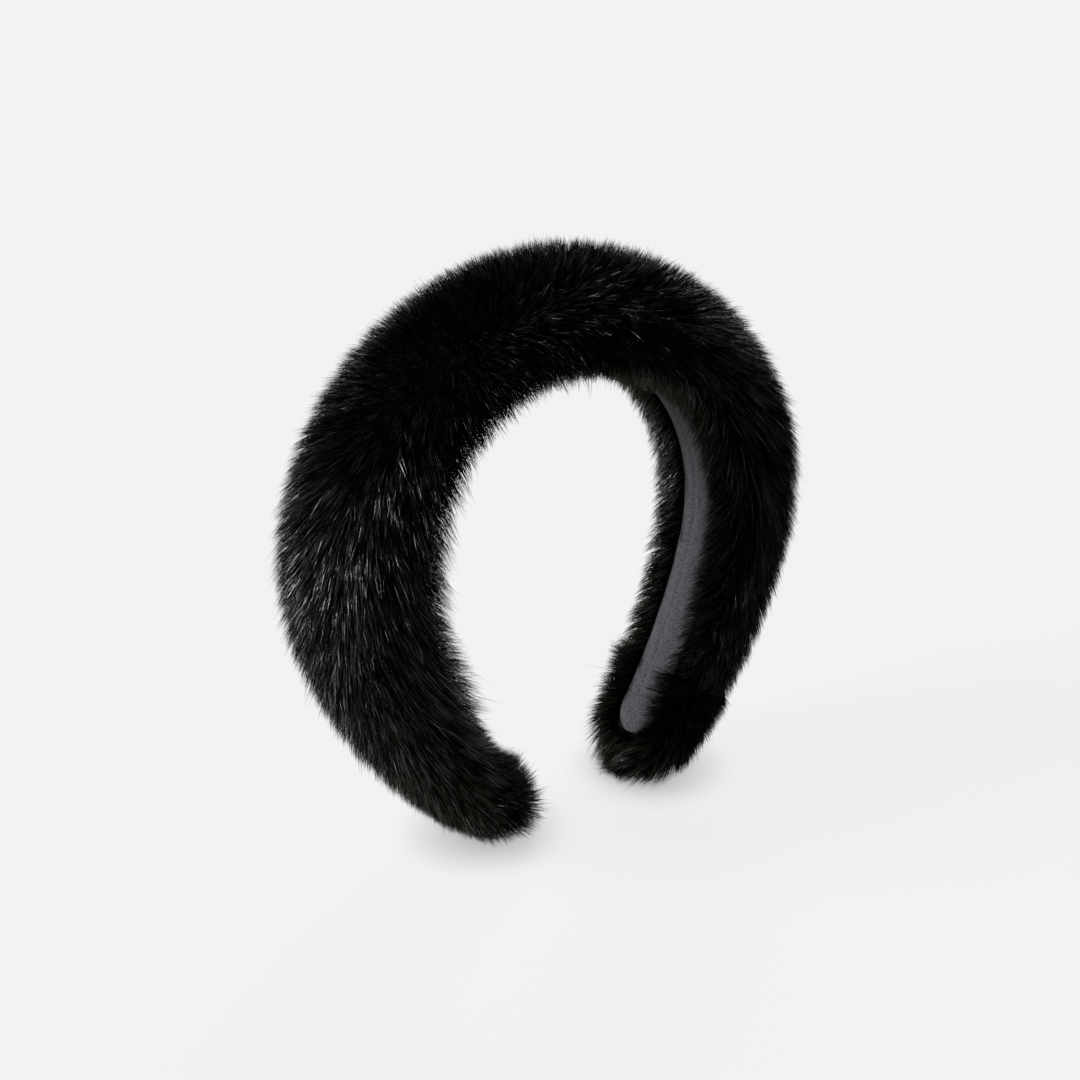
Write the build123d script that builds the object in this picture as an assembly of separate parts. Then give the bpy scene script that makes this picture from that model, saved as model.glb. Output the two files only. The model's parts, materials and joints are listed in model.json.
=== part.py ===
from build123d import *
import os
from math import cos, degrees, pi, radians, sin

# Padded fur headband, an open C that springs onto the head. Millimetres, +Z up.
# X runs from one arm to the other, Y is the width of the band, and the band stands on its two tips.
# The hoop line is the middle of the plastic hoop: one round arc over the crown, then a much flatter
# arc down each arm. A place along it is its length s from the crown, positive towards +X.
# At each place, u is the height outwards from the hoop line and v is the distance across the band.

# Driving dimensions
SEAT_RADIUS = 56.5  # inner face of the lining over the crown
HALF_LENGTH = 190.0  # hoop line from the crown to the end of the fur at one tip
CROWN_TURN = 106.5  # degrees of the round arc on each side of the crown
ARM_RADIUS = 185.0  # the flatter arc of each arm

# Layers, from the head outwards, as heights u from the hoop line
LINING_THICKNESS = 1.0
GLUE_THICKNESS = 0.25
CORE_THICKNESS = 2.0
TAPE_THICKNESS = 0.3
CORE_FACE = CORE_THICKNESS / 2
GLUE_FACE = -CORE_FACE - GLUE_THICKNESS
LINING_FACE = GLUE_FACE - LINING_THICKNESS
FUR_FACE = LINING_FACE + 0.3  # pressed fur beside the lining, a little behind its face
FOAM_BASE = CORE_FACE + TAPE_THICKNESS + 0.5  # the sponge's curved base stays just clear of the tape
HOOP_RADIUS = SEAT_RADIUS - LINING_FACE

# The fur envelope: width and height at the crown and at the tips
CROWN_WIDTH = 60.0
TIP_WIDTH = 40.0
WIDTH_TAPER = 1.5  # power of the length at which the width falls towards the tip
CROWN_HEIGHT = 29.0
TIP_HEIGHT = 15.0
HEIGHT_TAPER = 5.0
TIP_ROUNDING = 16.0  # length over which each tip closes
TIP_APEX = 4.0  # height u of the foremost point of a tip
LIP_HEIGHT = 2.5  # height u of the widest line of the section
FUR_CORNER = 9.0  # rounding between the side and the inner face

# The foam pad lies this far inside the fur envelope
FUR_DEPTH = 10.0
FOAM_END = 12.0  # gap between the foam's end and the fur's end
FOAM_ROUNDING = 10.0
FOAM_CORNER = 2.0
FOAM_LIP = 3.0

# Flat strips
CORE_CROWN_WIDTH = 14.0
CORE_TIP_WIDTH = 9.0
CORE_END = 14.0  # gap between the core's end and the fur's end
CORE_END_RADIUS = 4.0
LINING_WIDTH = 18.0
LINING_END = 13.0  # gap between the lining's end and the fur's end
GLUE_MARGIN = 1.0

# Seams of the pelt
WRAP_LENGTH = 37.0  # the separate tip pieces, measured back from the fur's end
STITCH_LENGTH = 3.2
STITCH_RADIUS = 0.35
STITCH_SLANT = 20.0  # degrees
STITCH_CLEARANCE = 1.2  # height of the thread over the foam
CROWN_STITCHES = 15
WRAP_STITCHES = 11

CROWN_ARC = HOOP_RADIUS * radians(CROWN_TURN)
BAND_MARGIN = 60.0  # larger than any half width, for cutting tools


# ---- The hoop line ----
def turn(s):
    """Angle of the hoop line at s, in radians, 0 at the crown."""
    side = -1 if s < 0 else 1
    past_arc = max(abs(s) - CROWN_ARC, 0)
    return side * (min(abs(s), CROWN_ARC) / HOOP_RADIUS + past_arc / ARM_RADIUS)


def at(s, u=0.0, v=0.0):
    """The point at length s, height u and distance v across."""
    side = -1 if s < 0 else 1
    arc = min(abs(s), CROWN_ARC) / HOOP_RADIUS
    x = HOOP_RADIUS * sin(arc)
    z = HOOP_RADIUS * (cos(arc) - 1)
    end = abs(turn(s))
    x += ARM_RADIUS * (sin(end) - sin(arc))
    z += ARM_RADIUS * (cos(end) - cos(arc))
    return Vector(side * (x + u * sin(end)), v, z + u * cos(end))


def across(s):
    """The plane that cuts the band square at s: its x is v and its y is u."""
    angle = turn(s)
    return Plane(origin=at(s), x_dir=(0, 1, 0), z_dir=(cos(angle), 0, -sin(angle)))


# ---- Flat strips that follow the hoop line ----
def strip(inner, outer, half_width, reach):
    """A strip between the heights inner and outer, reaching s = reach on both arms."""

    def curve(u):
        arc_ends = [-reach, -CROWN_ARC, CROWN_ARC, reach]
        return [ThreePointArc(at(a, u), at((a + b) / 2, u), at(b, u)) for a, b in zip(arc_ends, arc_ends[1:])]

    ends = [Line(at(s, inner), at(s, outer)) for s in (-reach, reach)]
    side = make_face(curve(inner) + curve(outer) + ends)
    return extrude(side, amount=half_width, both=True)


def rounded_ends(solid, reach, radius):
    """Round the two ends of a strip, as seen square to its face."""
    for side in (-1, 1):
        angle = turn(side * (reach - radius))
        lengthwise = (side * cos(angle), 0, -side * sin(angle))
        face = Plane(origin=at(side * (reach - radius)), x_dir=lengthwise, z_dir=(sin(angle), 0, cos(angle)))
        beyond = Rectangle(2 * radius, BAND_MARGIN, align=(Align.MIN, Align.CENTER)) - Circle(radius)
        solid -= extrude(face * beyond, amount=4 * radius, both=True)
    return solid


def tapered(half_crown, half_tip, reach):
    """A block that narrows a strip from its widest level down to its tips."""
    top = at(0).Z + BAND_MARGIN
    waist = -HOOP_RADIUS
    low = at(reach).Z
    outline = Polygon(
        (-half_crown, top),
        (-half_crown, waist),
        (-half_tip, low),
        (half_tip, low),
        (half_crown, waist),
        (half_crown, top),
        align=None,
    )
    return extrude(Plane.YZ * outline, amount=4 * HOOP_RADIUS, both=True)


# ---- Domed soft bodies ----
def fur_half_width(s):
    t = abs(s) / HALF_LENGTH
    return (CROWN_WIDTH - (CROWN_WIDTH - TIP_WIDTH) * t**WIDTH_TAPER) / 2


def fur_height(s):
    t = abs(s) / HALF_LENGTH
    return CROWN_HEIGHT - (CROWN_HEIGHT - TIP_HEIGHT) * t**HEIGHT_TAPER


def dome(s, half_width, height, base, lip, corner, shrink=1.0):
    """A D-shaped section at s: flat inside, rounded corners, an elliptical crown outside."""
    flat = half_width - corner
    outline = [
        Line((-flat, base), (flat, base)),
        EllipticalCenterArc((flat, lip), corner, lip - base, start_angle=-90, arc_size=90),
        EllipticalCenterArc((0, lip), half_width, height - lip, start_angle=0, arc_size=90),
        EllipticalCenterArc((0, lip), half_width, height - lip, start_angle=90, arc_size=90),
        EllipticalCenterArc((-flat, lip), corner, lip - base, start_angle=180, arc_size=90),
    ]
    section = make_face(outline)
    if shrink < 1:
        section = Pos(0, TIP_APEX) * scale(Pos(0, -TIP_APEX) * section, by=shrink)
    return across(s) * section


def domed(section, reach, rounding):
    """A closed body through D sections from tip to tip, rounded at both ends."""
    straight = reach - rounding
    spans = 14
    stations = [(-straight + 2 * straight * i / spans, 1.0) for i in range(spans + 1)]
    for closing in (30, 52, 70, 83):
        place = straight + rounding * sin(radians(closing))
        stations.append((place, cos(radians(closing))))
        stations.insert(0, (-place, cos(radians(closing))))
    return loft([section(s, shrink) for s, shrink in stations])


def fur_section(s, shrink):
    return dome(s, fur_half_width(s), fur_height(s), FUR_FACE, LIP_HEIGHT, FUR_CORNER, shrink)


def foam_size(s):
    return fur_half_width(s) - FUR_DEPTH, fur_height(s) - FUR_DEPTH


def foam_section(s, shrink):
    half_width, height = foam_size(s)
    return dome(s, half_width, height, FOAM_BASE, FOAM_LIP, FOAM_CORNER, shrink)


# ---- Thread ----
def seam_thread(s, count):
    """Overcast stitches across the seam at s, in an arch over the foam."""
    half_width, height = foam_size(s)
    stitches = []
    for i in range(count):
        angle = pi * (i + 0.5) / count
        v = (half_width + STITCH_CLEARANCE) * cos(angle)
        u = FOAM_LIP + (height - FOAM_LIP + STITCH_CLEARANCE) * sin(angle)
        lie = Pos(v, u, 0) * Rot(0, 0, degrees(angle)) * Rot(STITCH_SLANT, 0, 0)
        stitches.append(across(s) * lie * Cylinder(STITCH_RADIUS, STITCH_LENGTH))
    return Compound(children=stitches)


# ---- The pieces ----
core_reach = HALF_LENGTH - CORE_END
hoop_core = strip(-CORE_FACE, CORE_FACE, CORE_CROWN_WIDTH / 2, core_reach)
hoop_core &= tapered(CORE_CROWN_WIDTH / 2, CORE_TIP_WIDTH / 2, core_reach)
hoop_core = rounded_ends(hoop_core, core_reach, CORE_END_RADIUS)

tape_reach = core_reach - CORE_END_RADIUS
foam_tape = strip(CORE_FACE, CORE_FACE + TAPE_THICKNESS, CORE_CROWN_WIDTH / 2, tape_reach)
foam_tape &= tapered(CORE_CROWN_WIDTH / 2, CORE_TIP_WIDTH / 2, core_reach)

foam_reach = HALF_LENGTH - FOAM_END
foam_pad = domed(foam_section, foam_reach, FOAM_ROUNDING)

lining_reach = HALF_LENGTH - LINING_END
lining_strip = strip(LINING_FACE, GLUE_FACE, LINING_WIDTH / 2, lining_reach)
lining_strip = rounded_ends(lining_strip, lining_reach, LINING_WIDTH / 2)

glue_half = LINING_WIDTH / 2 - GLUE_MARGIN
lining_glue = strip(GLUE_FACE, -CORE_FACE, glue_half, lining_reach - GLUE_MARGIN)
lining_glue = rounded_ends(lining_glue, lining_reach - GLUE_MARGIN, glue_half)

crown_seam_thread = seam_thread(0, CROWN_STITCHES)
wrap_seam = HALF_LENGTH - WRAP_LENGTH
tip_seam_thread_right = seam_thread(wrap_seam, WRAP_STITCHES)
tip_seam_thread_left = seam_thread(-wrap_seam, WRAP_STITCHES)

stitches = crown_seam_thread.solids() + tip_seam_thread_left.solids() + tip_seam_thread_right.solids()
fur = domed(fur_section, HALF_LENGTH, TIP_ROUNDING)
fur -= [foam_pad, hoop_core, foam_tape, lining_strip, lining_glue] + stitches

fur_left = split(fur, bisect_by=Plane.YZ, keep=Keep.BOTTOM)
fur_right = split(fur, bisect_by=Plane.YZ, keep=Keep.TOP)
fur_panel_right = split(fur_right, bisect_by=across(wrap_seam), keep=Keep.BOTTOM)
tip_wrap_right = split(fur_right, bisect_by=across(wrap_seam), keep=Keep.TOP)
fur_panel_left = split(fur_left, bisect_by=across(-wrap_seam), keep=Keep.TOP)
tip_wrap_left = split(fur_left, bisect_by=across(-wrap_seam), keep=Keep.BOTTOM)

nodes = {
    "hoop_core": hoop_core,
    "foam_tape": foam_tape,
    "foam_pad": foam_pad,
    "fur_panel_left": fur_panel_left,
    "fur_panel_right": fur_panel_right,
    "crown_seam_thread": crown_seam_thread,
    "tip_wrap_left": tip_wrap_left,
    "tip_wrap_right": tip_wrap_right,
    "tip_seam_thread_left": tip_seam_thread_left,
    "tip_seam_thread_right": tip_seam_thread_right,
    "lining_glue": lining_glue,
    "lining_strip": lining_strip,
}

# Stand the tips on Z = 0
floor_level = min(tip_wrap_left.bounding_box().min.Z, tip_wrap_right.bounding_box().min.Z)
os.makedirs("parts", exist_ok=True)
for name, shape in nodes.items():
    export_step(Pos(0, 0, -floor_level) * shape, f"parts/{name}.step")
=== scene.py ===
import json
from math import cos, pi, radians, sin

import bpy
import numpy as np
from mathutils import Matrix, Vector
from mathutils.kdtree import KDTree


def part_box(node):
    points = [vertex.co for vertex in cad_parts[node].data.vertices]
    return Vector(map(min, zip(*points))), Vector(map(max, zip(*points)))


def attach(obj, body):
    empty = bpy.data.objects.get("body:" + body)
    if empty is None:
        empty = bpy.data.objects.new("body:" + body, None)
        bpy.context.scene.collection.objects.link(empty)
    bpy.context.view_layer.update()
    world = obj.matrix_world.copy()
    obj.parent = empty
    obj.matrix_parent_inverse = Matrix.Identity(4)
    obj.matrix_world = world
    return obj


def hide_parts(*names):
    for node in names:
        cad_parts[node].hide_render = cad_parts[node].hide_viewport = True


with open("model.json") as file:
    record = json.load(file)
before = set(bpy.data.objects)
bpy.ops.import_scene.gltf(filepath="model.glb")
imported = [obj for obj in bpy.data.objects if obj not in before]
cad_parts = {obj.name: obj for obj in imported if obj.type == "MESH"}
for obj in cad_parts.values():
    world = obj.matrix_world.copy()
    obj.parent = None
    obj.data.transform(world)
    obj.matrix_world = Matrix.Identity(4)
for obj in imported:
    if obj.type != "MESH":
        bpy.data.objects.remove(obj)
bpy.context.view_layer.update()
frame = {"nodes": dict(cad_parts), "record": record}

# A padded headband covered in short black fur, with a grey lining strip. Metres, in the frame of the CAD model.
# The hoop line is the middle of the plastic hoop. A place on it is its length s from the crown, positive
# towards +X. From it, u is the height outwards and v the distance across the band, as in the CAD source.

MM = 0.001
seat = next(m for m in frame["record"]["mounts"] if m["name"] == "head_seat")
SEAT_CENTRE = seat["pos_m"][2]
LINING_FACE = -2.25 * MM
GLUE_FACE = -1.25 * MM
HOOP_RADIUS = seat["dims"]["r_mm"] * MM - LINING_FACE
HALF_LENGTH = 190 * MM
CROWN_ARC = HOOP_RADIUS * radians(106.5)  # length of the tighter arc, each side of the crown
ARM_RADIUS = 185 * MM
WRAP_SEAM = HALF_LENGTH - 37 * MM
LINING_REACH = HALF_LENGTH - 13 * MM
LINING_HALF = seat["dims"]["length_mm"] * MM / 2

# The mean surface of the pile, which is the CAD model's fur envelope
CROWN_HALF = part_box("fur_panel_left")[1][1]
CROWN_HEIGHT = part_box("fur_panel_left")[1][2] - SEAT_CENTRE - HOOP_RADIUS
TIP_HALF = 20 * MM
TIP_HEIGHT = 15 * MM
TIP_ROUNDING = 16 * MM
TIP_APEX = 4 * MM  # height of the foremost point of a tip
LIP_HEIGHT = 2.5 * MM  # height of the widest line
WIDTH_TAPER = 1.5
HEIGHT_TAPER = 5
INNER_FLATNESS = 2 / 3.2  # the inner face is a superellipse, flatter than the outer face's ellipse

# The skin and the pile on it
INNER_SKIN = -0.6 * MM  # height of the skin beside the lining
PILE_DEPTH = 7.0 * MM  # from the skin out to the mean surface of the pile
WRAP_SWELL = 2.5 * MM  # how far the pile of a tip wrap stands above the panel's at their seam
WRAP_PUFF = 16 * MM  # length over which that swelling fades
PUFF_RISE = 3 * MM  # length over which it builds up before its highest point
LEFT_PUFF_LATER = 10 * MM  # how much further along the left wrap its highest point is
OUTER_FULLNESS = 1.6 * MM  # how much deeper the pile is over the crown and the upper arms
CROWN_SKEW = 2.4 * MM  # how unevenly deep it is under the crown: deeper on the right, shallower on the left
FRONT_FULLNESS = 4.8 * MM  # how much deeper the pile is round the front edge of the arms
BACK_FULLNESS = -0.4 * MM  # the same for the back edge
LEFT_TIP_SHORTER = 0.12  # share by which the hair over the end of the left tip is shorter
LEFT_LONGER = 55 * MM  # how much further the deeper pile runs down the left arm than down the right
FLOOR_PRESS = 0.4 * MM  # height at which the hairs under the tips lie pressed on the floor

# How far the hairs lean, against 1 for upright
CROWN_LEAN = 0.04
ARM_LEAN = 1.25
TIP_LEAN = 1.2  # added over the rounded tips
EDGE_LEAN = 0.6
FRONT_LINING_LEAN = 0.2  # towards the lining, beside it
BACK_LINING_LEAN = -0.15

# Share of the hairs, or of the height of the noise, where a colour is used
UNDERFUR_BROWN = 0.25
GLOSSY_ABOVE = 0.45
PALE_TIPS = 0.3
BROWN_UNDER_CROWN = 0.6
BROWN_LOW_DOWN = 0.2

# Brightness of the surroundings
FLOOR_GLOW = 0.842
CONTACT_SHADOW_GLOW = 0.42  # of the floor right beside the tips, dimmer there as a painted contact shadow
BACKDROP = 0.888
FILL_LIGHT = 0.08  # of the light from all round

# How many hairs each piece has, so that it stays under 200,000 triangles
PANEL_UNDERFUR = 22000
PANEL_GUARD = 13000
PANEL_GUARD_PIECES = 3
WRAP_UNDERFUR = 9000
WRAP_GUARD = 11000

rng = np.random.default_rng(61)


# ---- The shape of the band ----
def at(s, u, v):
    """Points at lengths s, heights u and distances v across, as arrays."""
    side = np.where(s < 0, -1.0, 1.0)
    arc = np.minimum(abs(s), CROWN_ARC) / HOOP_RADIUS
    end = arc + np.maximum(abs(s) - CROWN_ARC, 0) / ARM_RADIUS
    x = HOOP_RADIUS * np.sin(arc) + ARM_RADIUS * (np.sin(end) - np.sin(arc)) + u * np.sin(end)
    z = HOOP_RADIUS * np.cos(arc) + ARM_RADIUS * (np.cos(end) - np.cos(arc)) + u * np.cos(end)
    return np.stack([side * x, v + 0 * x, SEAT_CENTRE + z], -1)


def half_width(s):
    return CROWN_HALF - (CROWN_HALF - TIP_HALF) * (abs(s) / HALF_LENGTH) ** WIDTH_TAPER


def height(s):
    return CROWN_HEIGHT - (CROWN_HEIGHT - TIP_HEIGHT) * (abs(s) / HALF_LENGTH) ** HEIGHT_TAPER


def skin(s, theta, closing):
    """Points on the skin under the fur. theta is 0 on the outside, 90 degrees at the widest line and 180 at
    the middle of the inner face, positive towards the back. closing is the angle over the rounded tip, 0
    before it."""
    shrink = np.cos(closing)
    straight = np.sign(s) * np.minimum(abs(s), HALF_LENGTH - TIP_ROUNDING)
    rounding = TIP_ROUNDING - PILE_DEPTH
    place = straight + np.sign(s) * rounding * np.sin(closing)
    wide = half_width(place) - PILE_DEPTH
    tall = height(place) - PILE_DEPTH
    outside = abs(theta) <= pi / 2
    sine, cosine = np.sin(theta), np.cos(theta)
    v_in = np.sign(sine) * abs(sine) ** INNER_FLATNESS
    u_in = LIP_HEIGHT - (LIP_HEIGHT - INNER_SKIN) * abs(cosine) ** INNER_FLATNESS
    v = wide * np.where(outside, sine, v_in)
    u = np.where(outside, LIP_HEIGHT + (tall - LIP_HEIGHT) * cosine, u_in)
    return at(place, TIP_APEX + (u - TIP_APEX) * shrink, v * shrink)


def stations(first, last):
    """Lengths and closing angles along the band between two lengths, with the rounded tip where it is
    reached."""
    straight = HALF_LENGTH - TIP_ROUNDING
    step = 1.6 * MM
    body = np.arange(max(first, -straight), min(last, straight) + step / 2, step)
    closing = np.zeros_like(body)
    over = np.radians(np.linspace(6, 88, 14))
    beyond = np.full_like(over, straight + MM)
    if last > straight:
        body, closing = np.append(body, beyond), np.append(closing, over)
    if first < -straight:
        body, closing = np.append(-beyond, body), np.append(over[::-1], closing)
    return body, closing


# ---- Meshes ----
def mesh_object(name, points, faces, materials, face_slots=None, smooth=None):
    """A mesh object from arrays of points and of faces, where each face array holds faces of one size. smooth
    says of each face array whether its faces are shaded smooth."""
    mesh = bpy.data.meshes.new(name)
    loops = np.concatenate([f.ravel() for f in faces]).astype(np.int32)
    sizes = np.concatenate([np.full(len(f), f.shape[1]) for f in faces])
    mesh.vertices.add(len(points))
    mesh.vertices.foreach_set("co", np.ascontiguousarray(points, dtype=np.float32).ravel())
    mesh.loops.add(len(loops))
    mesh.loops.foreach_set("vertex_index", loops)
    mesh.polygons.add(len(sizes))
    mesh.polygons.foreach_set("loop_start", (np.cumsum(sizes) - sizes).astype(np.int32))
    mesh.polygons.foreach_set("loop_total", sizes.astype(np.int32))
    smooth = smooth or [True] * len(faces)
    mesh.polygons.foreach_set("use_smooth", np.repeat(smooth, [len(f) for f in faces]))
    for finish in materials:
        mesh.materials.append(finish)
    if face_slots is not None:
        mesh.polygons.foreach_set("material_index", face_slots.astype(np.int32))
    mesh.update(calc_edges=True)
    mesh.validate()
    piece = bpy.data.objects.new(name, mesh)
    bpy.context.scene.collection.objects.link(piece)
    return piece


def tube_faces(rings, around):
    """Quads of a tube with closed rings, and a fan over each end."""
    ring, k = np.meshgrid(np.arange(rings - 1), np.arange(around), indexing="ij")
    a, b = ring * around + k, ring * around + (k + 1) % around
    quads = np.stack([a, b, b + around, a + around], -1).reshape(-1, 4)
    caps = np.array([np.arange(around)[::-1], (rings - 1) * around + np.arange(around)])
    return [quads, caps]


# ---- Materials ----
def material(name, color, roughness, specular=0.5, sheen=0.0, ior=1.5):
    made = bpy.data.materials.new(name)
    made.use_nodes = True
    shader = made.node_tree.nodes["Principled BSDF"]
    shader.inputs["Base Color"].default_value = (*color, 1)
    shader.inputs["Roughness"].default_value = roughness
    shader.inputs["Specular IOR Level"].default_value = specular
    shader.inputs["Sheen Weight"].default_value = sheen
    shader.inputs["Sheen Roughness"].default_value = 0.5
    shader.inputs["IOR"].default_value = ior
    return made


def noise(nodes, links, scale):
    coords = nodes.new("ShaderNodeTexCoord")
    texture = nodes.new("ShaderNodeTexNoise")
    texture.inputs["Scale"].default_value = scale
    texture.inputs["Detail"].default_value = 6
    links.new(coords.outputs["Object"], texture.inputs["Vector"])
    return texture.outputs["Fac"]


def patterned(name, low, high, roughness, scale, bump, distance, fine=None, **rest):
    """A material whose colour runs from low to high over a noise, with a bump of a finer noise. scale and
    fine are the scales of the two."""
    made = material(name, high, roughness, **rest)
    nodes, links = made.node_tree.nodes, made.node_tree.links
    shader = nodes["Principled BSDF"]
    ramp = nodes.new("ShaderNodeValToRGB")
    ramp.color_ramp.elements[0].position = 0.35
    ramp.color_ramp.elements[1].position = 0.68
    ramp.color_ramp.elements[0].color = (*low, 1)
    ramp.color_ramp.elements[1].color = (*high, 1)
    links.new(noise(nodes, links, scale), ramp.inputs["Fac"])
    links.new(ramp.outputs["Color"], shader.inputs["Base Color"])
    bumps = nodes.new("ShaderNodeBump")
    bumps.inputs["Strength"].default_value = bump
    bumps.inputs["Distance"].default_value = distance
    links.new(noise(nodes, links, fine or scale * 4), bumps.inputs["Height"])
    links.new(bumps.outputs["Normal"], shader.inputs["Normal"])
    return made


def grey(value):
    return (value, value, value)


PELT = patterned("pelt", (0.004, 0.0035, 0.003), (0.011, 0.009, 0.008), 0.9, 900, 0.5, 0.4 * MM, specular=0.1)
LINING = patterned(
    "lining_suede", (0.024, 0.024, 0.027), (0.091, 0.091, 0.102), 0.92, 1900, 0.8, 0.15 * MM, fine=5200,
    specular=0.12, sheen=0.10,
)
CORE = patterned("core_plastic", grey(0.012), grey(0.02), 0.45, 300, 0.1, 0.05 * MM, fine=1500)
TAPE = patterned("tissue_tape", (0.62, 0.6, 0.54), (0.74, 0.72, 0.66), 0.8, 500, 0.3, 0.05 * MM)
FOAM = patterned("foam", grey(0.05), grey(0.11), 0.95, 1500, 0.9, 0.4 * MM, fine=2600)
GLUE = patterned("dried_glue", (0.3, 0.23, 0.11), (0.42, 0.34, 0.2), 0.35, 350, 0.3, 0.1 * MM)
THREAD = patterned("thread", grey(0.008), grey(0.02), 0.7, 3000, 0.7, 0.1 * MM, fine=6000)

# Hair has no pattern of its own. Each segment of a hair takes one of these, so that root, shaft and tip differ
UNDERFUR = [
    material("underfur_black", (0.0005, 0.0004, 0.0004), 0.8, specular=0.02),
    material("underfur_brown", (0.0020, 0.0015, 0.0010), 0.8, specular=0.03),
]
GUARD = [
    material("guard_hair_root", (0.0005, 0.0004, 0.0004), 0.7, specular=0.03),
    material("guard_hair_black", grey(0.0006), 0.42, specular=0.06),
    material("guard_hair_glossy", grey(0.0010), 0.42, specular=0.85, ior=1.8),
    material("guard_hair_tip", (0.0060, 0.0048, 0.0018), 0.5, specular=0.07),
    material("guard_hair_brown", (0.0400, 0.0335, 0.0185), 0.6, specular=0.07),
]
ROOT, BLACK, GLOSSY, PALE_TIP, BROWN = range(5)

for node, finish in (
    ("hoop_core", CORE), ("foam_tape", TAPE), ("foam_pad", FOAM), ("lining_glue", GLUE),
    ("crown_seam_thread", THREAD), ("tip_seam_thread_left", THREAD), ("tip_seam_thread_right", THREAD),
):
    for material_slot in frame["nodes"][node].material_slots:
        material_slot.material = finish


# ---- The skin under the fur ----
def skin_piece(name, first, last, node):
    s, closing = stations(first, last)
    theta = np.linspace(-pi, pi, 96, endpoint=False)
    points = skin(s[:, None], theta[None], closing[:, None])
    piece = mesh_object(name, points.reshape(-1, 3), tube_faces(len(s), len(theta)), [PELT])
    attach(piece, "root")
    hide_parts(node)


# ---- Fur ----
def unit(a):
    return a / np.maximum(np.linalg.norm(a, axis=-1, keepdims=True), 1e-12)


def smoothstep(low, high, x):
    t = np.clip((x - low) / (high - low), 0, 1)
    return t * t * (3 - 2 * t)


def waves(points, length, count=6):
    """A smooth random field of vectors over the points, about one unit strong, that varies over the given
    length."""
    field = np.zeros_like(points)
    for _ in range(count):
        direction = unit(rng.normal(size=3)) * 2 * pi / length
        strength = unit(rng.normal(size=3))
        field += np.sin(points @ direction + rng.uniform(0, 2 * pi))[:, None] * strength
    return field / np.sqrt(count / 2)


def roots(count, first, last):
    """Random places on the skin between two lengths, evenly spread over its area outside the lining."""
    s, closing = stations(first, last)
    theta = np.linspace(-pi, pi, 181)
    grid = skin(s[:, None], theta[None], closing[:, None])
    along = grid[1:, :-1] - grid[:-1, :-1]
    across = grid[:-1, 1:] - grid[:-1, :-1]
    middle = (grid[1:, 1:] + grid[:-1, :-1]) / 2
    area = np.linalg.norm(np.cross(along, across), axis=-1)
    mid_s = (s[1:] + s[:-1]) / 2
    mid_theta = (theta[1:] + theta[:-1]) / 2
    under_lining = (abs(middle[..., 1]) < LINING_HALF - 0.5 * MM) & (abs(mid_theta) > pi * 0.55)[None]
    under_lining &= ((abs(mid_s) < LINING_REACH) & (closing[:-1] < 0.3))[:, None]
    area = np.where(under_lining, 0, area)
    cell = rng.choice(area.size, count, p=(area / area.sum()).ravel())
    i, j = np.divmod(cell, area.shape[1])
    f, g = rng.random(count), rng.random(count)
    place = s[i] + f * (s[i + 1] - s[i])
    close = closing[i] + f * (closing[i + 1] - closing[i])
    angle = theta[j] + g * (theta[j + 1] - theta[j])
    return place, angle, close


def fur_frame(s, theta, closing):
    """For each root, its point, the outward normal, the way to the tip, and the way round the section from the
    parting on the outer face over the edge to the lining."""
    small = 0.002  # radians
    short = 0.1 * MM
    here = skin(s, theta, closing)
    round_it = skin(s, theta + small, closing) - skin(s, theta - small, closing)
    side = np.sign(s)
    lengthwise = np.where(
        (closing > 0)[:, None],
        skin(s, theta, closing + small) - skin(s, theta, closing - small),
        skin(s + side * short, theta, closing) - skin(s - side * short, theta, closing),
    )
    lengthwise = unit(lengthwise)
    normal = unit(np.cross(lengthwise, round_it)) * side[:, None]
    edge = unit(np.cross(normal, lengthwise))
    edge *= np.sign(np.sum(edge * round_it, -1) * theta)[:, None]
    return here, normal, lengthwise, edge


def outer_share(theta):
    """1 on the outer face and 0 on the inner one, with a smooth change over the edge."""
    return 1 - smoothstep(1.5, 2.2, abs(theta))


def wrap_puff(s, theta):
    """1 where the hair of a tip wrap stands up most, close to its seam, and 0 away from it."""
    past = abs(s) - WRAP_SEAM - np.where(s < 0, LEFT_PUFF_LATER, 0)
    puff = np.exp(-((past / np.where(past < 0, PUFF_RISE, WRAP_PUFF)) ** 2))
    to_side = smoothstep(0.5, 1.4, abs(theta))
    return puff * ((abs(s) > WRAP_SEAM) * (0.25 + 0.75 * to_side))


def extra_depth(s, theta):
    """How much deeper than usual the pile of the panels is."""
    length = abs(s)
    arm = smoothstep(35 * MM, 80 * MM, length) * (1 - smoothstep(112 * MM, 142 * MM, length))
    off_outer = smoothstep(1.1, 1.7, abs(theta))
    edge_round = off_outer * (1 - smoothstep(2.4, 2.9, abs(theta)))
    extra = np.where(theta < 0, FRONT_FULLNESS, BACK_FULLNESS) * arm * edge_round
    fading = smoothstep(60 * MM, 120 * MM, np.where(s < 0, length - LEFT_LONGER, s))
    extra += OUTER_FULLNESS * outer_share(theta) * (1 - fading)
    extra += CROWN_SKEW * off_outer * s / (25 * MM) * np.exp(-((s / (30 * MM)) ** 2))
    return extra


def lean(s, theta, closing, puff):
    """How far the hairs lean towards the tip and towards the lining. Those of the puff stand up."""
    outside = outer_share(theta)
    inside = 1 - outside
    lean_tip = CROWN_LEAN + ARM_LEAN * smoothstep(14 * MM, 75 * MM, abs(s))
    lean_tip *= (1 - 0.5 * inside) * (1 - 1.1 * puff)
    lean_tip += TIP_LEAN * smoothstep(0, 0.6, closing)
    over_lining = np.where(theta > 0, BACK_LINING_LEAN, FRONT_LINING_LEAN)
    lean_edge = outside * EDGE_LEAN * np.sin(np.minimum(abs(theta), 1.3)) + inside * over_lining
    return lean_tip[:, None], lean_edge[:, None]


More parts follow.
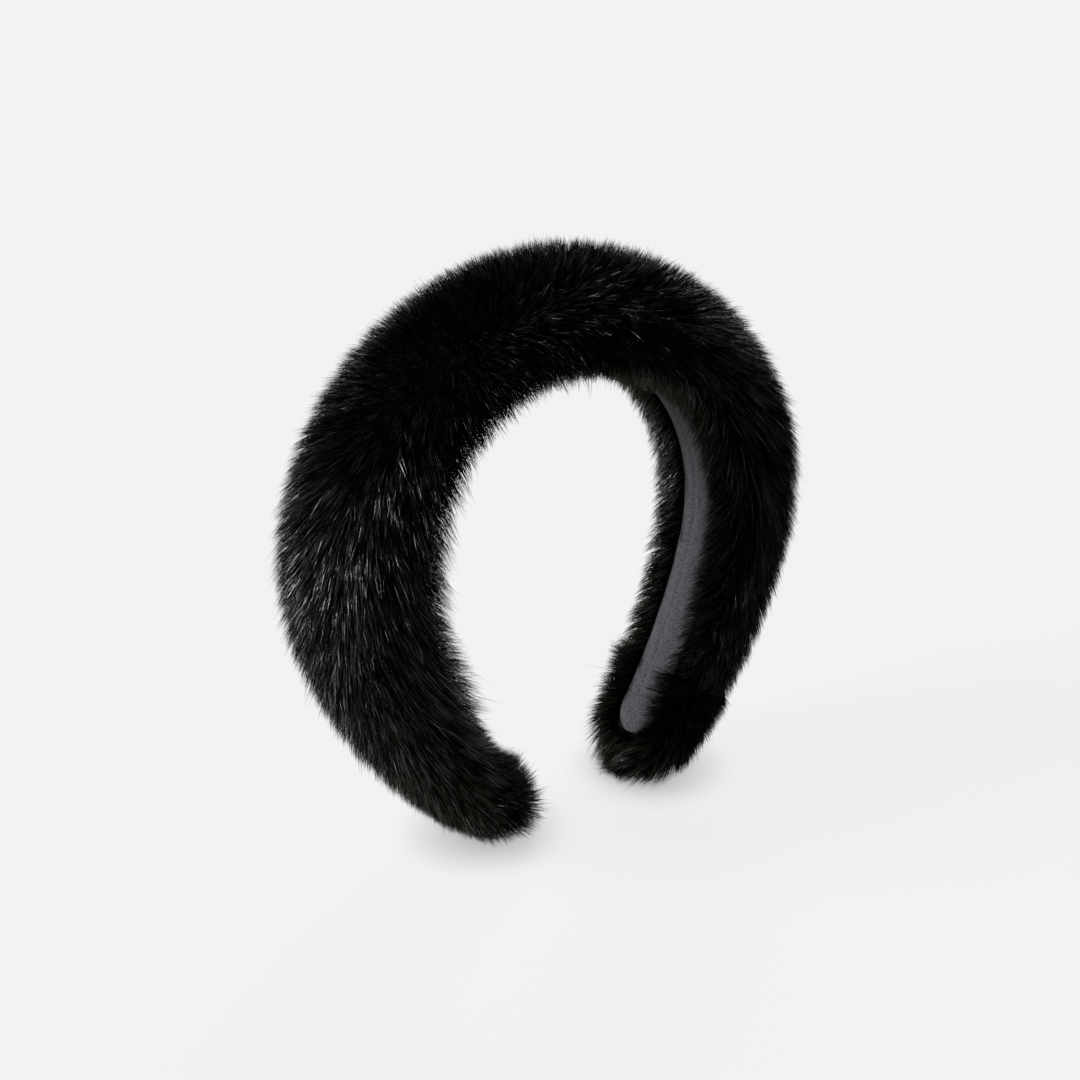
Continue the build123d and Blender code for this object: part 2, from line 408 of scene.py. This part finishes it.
def hair_lines(s, theta, closing, points, reach, spread):
    """The centre lines of the hairs, as an array of hairs x points x 3."""
    here, normal, tipward, edge = fur_frame(s, theta, closing)
    wave = waves(here, 30 * MM) * 0.10 + waves(here, 8 * MM) * 0.12
    puff = wrap_puff(s, theta)
    lean_tip, lean_edge = lean(s, theta, closing, puff)
    leaning = tipward * lean_tip + edge * lean_edge
    random = rng.normal(size=here.shape) * spread
    start = unit(normal + 0.5 * leaning + wave + random * 0.8)
    finish = unit(normal + 1.25 * leaning + wave * 1.3 + random)

    # The hairs that lean are longer, so that the pile is as deep
    rise = np.clip(np.sum((start + finish) * normal, -1) / 2, 0.45, 1)
    hair = (PILE_DEPTH + WRAP_SWELL * puff + extra_depth(s, theta)) * reach / rise
    hair *= 1 - LEFT_TIP_SHORTER * smoothstep(0, 0.6, closing) * (s < 0)

    # Those that point down end at the floor
    drop = np.maximum(-(start + finish)[:, 2] / 2, 1e-3) * hair
    hair *= np.clip((here[:, 2] - FLOOR_PRESS) / drop, 0.4, 1)
    t = np.linspace(0, 1, points)[None, :, None]
    path = start[:, None] * (t - t**2 / 2) + finish[:, None] * (t**2 / 2)
    return here[:, None] + hair[:, None, None] * path


def clumped(lines, strength):
    """The hairs with their tips pulled towards the nearest guide hair's tip. One hair in five is a guide."""
    count = max(int(len(lines) * 0.2), 1)
    guides = rng.choice(len(lines), count, replace=False)
    tree = KDTree(count)
    for k, g in enumerate(guides):
        tree.insert(lines[g, 0], k)
    tree.balance()
    nearest = guides[[tree.find(p)[1] for p in lines[:, 0]]]
    t = np.linspace(0, 1, lines.shape[1])[None, :, None]
    pull = strength * rng.uniform(0.4, 1.0, len(lines))[:, None, None]
    return lines + (lines[nearest] - lines) * pull * t**1.5


def strands(name, lines, radius, materials, slots):
    """Three-sided tapering strands. slots gives each hair's material for each of its segments."""
    count, points = lines.shape[:2]
    pressed = FLOOR_PRESS + 0.05 * lines[..., 2]
    lines[..., 2] = np.maximum(lines[..., 2], pressed)
    along = unit(np.gradient(lines, axis=1))
    first = unit(np.cross(along, rng.normal(size=(count, 1, 3))))
    second = np.cross(along, first)
    t = np.linspace(0, 1, points)
    taper = (0.75 + 0.25 * np.minimum(t * 4, 1)) * np.sqrt(1 - 0.9 * t**2)
    width = radius[:, None] * taper[None]
    turns = np.arange(3) * 2 * pi / 3
    rings = lines[:, :-1, None] + width[:, :-1, None, None] * (
        np.cos(turns)[None, None, :, None] * first[:, :-1, None]
        + np.sin(turns)[None, None, :, None] * second[:, :-1, None]
    )
    ring_points = rings.reshape(count, -1, 3)
    all_points = np.concatenate([ring_points, lines[:, -1:]], 1)
    per_hair = all_points.shape[1]
    quads, quad_segment = [], []
    for segment in range(points - 2):
        for k in range(3):
            a, b = segment * 3 + k, segment * 3 + (k + 1) % 3
            quads.append([a, b, b + 3, a + 3])
            quad_segment.append(segment)
    last = (points - 2) * 3
    tips = [[last + k, last + (k + 1) % 3, per_hair - 1] for k in range(3)]
    offset = (np.arange(count) * per_hair)[:, None, None]
    faces = [(np.array(corners)[None] + offset).reshape(-1, len(corners[0])) for corners in (quads, tips)]
    face_slots = np.concatenate([slots[:, quad_segment].ravel(), np.repeat(slots[:, points - 2], 3)])
    return mesh_object(name, all_points.reshape(-1, 3), faces, materials, face_slots, smooth=[True, False])


def fur_piece(name, node, count, first, last, kind):
    s, theta, closing = roots(count, first, last)
    if kind == "underfur":
        lines = hair_lines(s, theta, closing, 3, rng.uniform(0.6, 0.97, count), 0.25)
        lines = clumped(lines, 0.5)
        radius = rng.uniform(0.060, 0.085, count) * MM
        brown = rng.random(count) < UNDERFUR_BROWN
        slots = np.repeat(brown.astype(int)[:, None], 2, 1)
        piece = strands(name, lines, radius, UNDERFUR, slots)
    else:
        reach = rng.uniform(0.85, 1.05, count) + 0.3 * rng.random(count) ** 8
        lines = hair_lines(s, theta, closing, 4, reach, 0.12)
        patch = waves(lines[:, 0], 5 * MM)[:, 0] + 0.8 * rng.normal(size=count)
        lines = clumped(lines, 0.75)
        radius = rng.uniform(0.045, 0.095, count) * MM
        shaft = np.where(patch > GLOSSY_ABOVE, GLOSSY, BLACK)
        pale = rng.random(count) < PALE_TIPS
        under_crown = smoothstep(1.7, 2.2, abs(theta)) * (1 - smoothstep(40 * MM, 75 * MM, abs(s)))
        low_down = smoothstep(100 * MM, 150 * MM, abs(s))
        brown_share = BROWN_UNDER_CROWN * under_crown + BROWN_LOW_DOWN * low_down
        shaft = np.where(rng.random(count) < brown_share, BROWN, shaft)
        ends = np.where(pale & (shaft != BROWN), PALE_TIP, shaft)
        slots = np.stack([np.full(count, ROOT), shaft, ends], 1)
        piece = strands(name, lines, radius, GUARD, slots)
    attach(piece, "root")
    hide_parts(node)


for side, sign in (("left", -1), ("right", 1)):
    panel, wrap = f"fur_panel_{side}", f"tip_wrap_{side}"
    reach = sorted((0, sign * WRAP_SEAM))
    skin_piece(f"pelt_{side}", *reach, panel)
    fur_piece(f"underfur_{side}", panel, PANEL_UNDERFUR, *reach, "underfur")
    for k in range(PANEL_GUARD_PIECES):
        fur_piece(f"guard_hair_{side}_{k + 1}", panel, PANEL_GUARD, *reach, "guard")
    reach = sorted((sign * WRAP_SEAM, sign * HALF_LENGTH))
    skin_piece(f"tip_pelt_{side}", *reach, wrap)
    fur_piece(f"tip_underfur_{side}", wrap, WRAP_UNDERFUR, *reach, "underfur")
    fur_piece(f"tip_guard_hair_{side}", wrap, WRAP_GUARD, *reach, "guard")


# ---- The lining ----
def lining_piece():
    """The grey strip, slightly puffed and rounded over at its edges, with a faint lengthwise crease."""
    rounding = 0.7 * MM
    crease_at, crease_width, crease_depth = 3 * MM, 0.7 * MM, 0.4 * MM
    straight = LINING_REACH - LINING_HALF
    over = np.radians(np.linspace(5, 89, 16))
    first_end = -straight - LINING_HALF * np.sin(over[::-1])
    body = np.arange(-straight, straight, 1.5 * MM)
    s = np.concatenate([first_end, body, [straight], straight + LINING_HALF * np.sin(over)])
    past = np.clip(abs(s) - straight, 0, LINING_HALF)
    wide = np.sqrt(np.maximum(LINING_HALF**2 - past**2, (0.1 * MM) ** 2))
    front = np.sin(np.linspace(-1, 1, 41) * pi / 2)
    back = np.linspace(1, -1, 9)[1:-1]
    v = np.concatenate([front, back])
    in_front = np.arange(len(v)) < len(front)
    s = s[:, None]
    width = wide[:, None] * v[None]
    edge = np.clip((wide[:, None] - abs(width)) / rounding, 0, 1)
    rounded = np.sqrt(1 - (1 - edge) ** 2)
    crease = crease_depth * np.exp(-(((width - crease_at) / crease_width) ** 2))
    ripple = 0.06 * MM * (np.sin(s / (7 * MM)) + np.sin(s / (3.1 * MM) + width / MM))
    puff = 0.25 * MM * (1 - (width / LINING_HALF) ** 2)
    u_front = GLUE_FACE + (LINING_FACE - GLUE_FACE - puff - ripple + crease) * rounded
    # The back lies 0.1 mm inside the glue film
    u = np.where(in_front[None], u_front, GLUE_FACE + 0.1 * MM)
    points = at(s + 0 * width, u, width)
    return mesh_object("lining_cloth", points.reshape(-1, 3), tube_faces(len(s), len(v)), [LINING])


lining = lining_piece()
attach(lining, "root")
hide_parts("lining_strip")


# ---- Floor, light and camera ----
def stage():
    bpy.ops.mesh.primitive_circle_add(vertices=96, radius=6, fill_type="NGON", location=(0, 0, -0.2 * MM))
    floor = bpy.context.object
    floor.name = "floor"
    paper = material("floor_paper", (0.03, 0.03, 0.0295), 0.9, specular=0.0)
    nodes, links = paper.node_tree.nodes, paper.node_tree.links
    nodes["Principled BSDF"].inputs["Emission Color"].default_value = (1, 1, 0.99, 1)

    # The floor glows evenly by itself, and less so close to the tips, as a painted contact shadow where they
    # would block soft light
    blocked, glow = nodes.new("ShaderNodeAmbientOcclusion"), nodes.new("ShaderNodeMapRange")
    blocked.samples = 4
    blocked.inputs["Distance"].default_value = 16 * MM
    glow.inputs["To Min"].default_value = CONTACT_SHADOW_GLOW
    glow.inputs["To Max"].default_value = FLOOR_GLOW
    links.new(blocked.outputs["AO"], glow.inputs["Value"])
    links.new(glow.outputs["Result"], nodes["Principled BSDF"].inputs["Emission Strength"])
    floor.data.materials.append(paper)

    # The background is as bright as the floor, but lights the band only faintly
    world = bpy.data.worlds.new("studio")
    bpy.context.scene.world = world
    world.use_nodes = True
    nodes, links = world.node_tree.nodes, world.node_tree.links
    backdrop, rays = nodes["Background"], nodes.new("ShaderNodeLightPath")
    strength = nodes.new("ShaderNodeMapRange")
    strength.inputs["To Min"].default_value = FILL_LIGHT
    strength.inputs["To Max"].default_value = BACKDROP
    backdrop.inputs["Color"].default_value = (1, 1, 0.993, 1)
    links.new(rays.outputs["Is Camera Ray"], strength.inputs["Value"])
    links.new(strength.outputs["Result"], backdrop.inputs["Strength"])


def far_light(name, strength, spread, azimuth, elevation):
    """A soft light from far away, where spread is the width of its disc in the sky. All angles are in degrees.
    Azimuth 0 is in front of the band and 90 at its +X side."""
    lamp = bpy.data.lights.new(name, "SUN")
    lamp.energy = strength
    lamp.angle = radians(spread)
    holder = bpy.data.objects.new(name, lamp)
    a, e = radians(azimuth), radians(elevation)
    back = Vector((sin(a) * cos(e), -cos(a) * cos(e), sin(e)))
    holder.rotation_euler = back.to_track_quat("Z", "Y").to_euler()
    bpy.context.scene.collection.objects.link(holder)


def camera():
    """The band is seen from the front, to the left and above, with its middle a little to the right of the
    picture's middle and below it."""
    azimuth, elevation, roll = radians(32.2), radians(23.74), radians(-3.35)
    distance, below_centre = 0.551, 20.25 * MM
    aim_left, aim_up = 5.16 * MM, 16.85 * MM
    back = Vector((-sin(azimuth) * cos(elevation), -cos(azimuth) * cos(elevation), sin(elevation)))
    level = Vector((cos(azimuth), -sin(azimuth), 0))
    rise = back.cross(level)
    right = cos(roll) * level + sin(roll) * rise
    up = cos(roll) * rise - sin(roll) * level
    middle = Vector((0, 0, SEAT_CENTRE - below_centre))
    place = middle + back * distance
    aim = middle - aim_left * right + aim_up * up
    away = (place - aim).normalized()
    right = up.cross(away).normalized()
    up = away.cross(right)
    data = bpy.data.cameras.new("camera")
    data.sensor_width = 36
    data.lens = 59.82
    data.clip_start = 0.01
    holder = bpy.data.objects.new("camera", data)
    holder.matrix_world = Matrix.Translation(place) @ Matrix((right, up, away)).transposed().to_4x4()
    bpy.context.scene.collection.objects.link(holder)
    bpy.context.scene.camera = holder


stage()
far_light("key_left", 5.0, 24, -116, 42)
far_light("low_left", 1.2, 16, -100, 10)
far_light("top_right", 1.8, 20, 135, 38)
camera()
bpy.context.scene.view_settings.view_transform = "Standard"
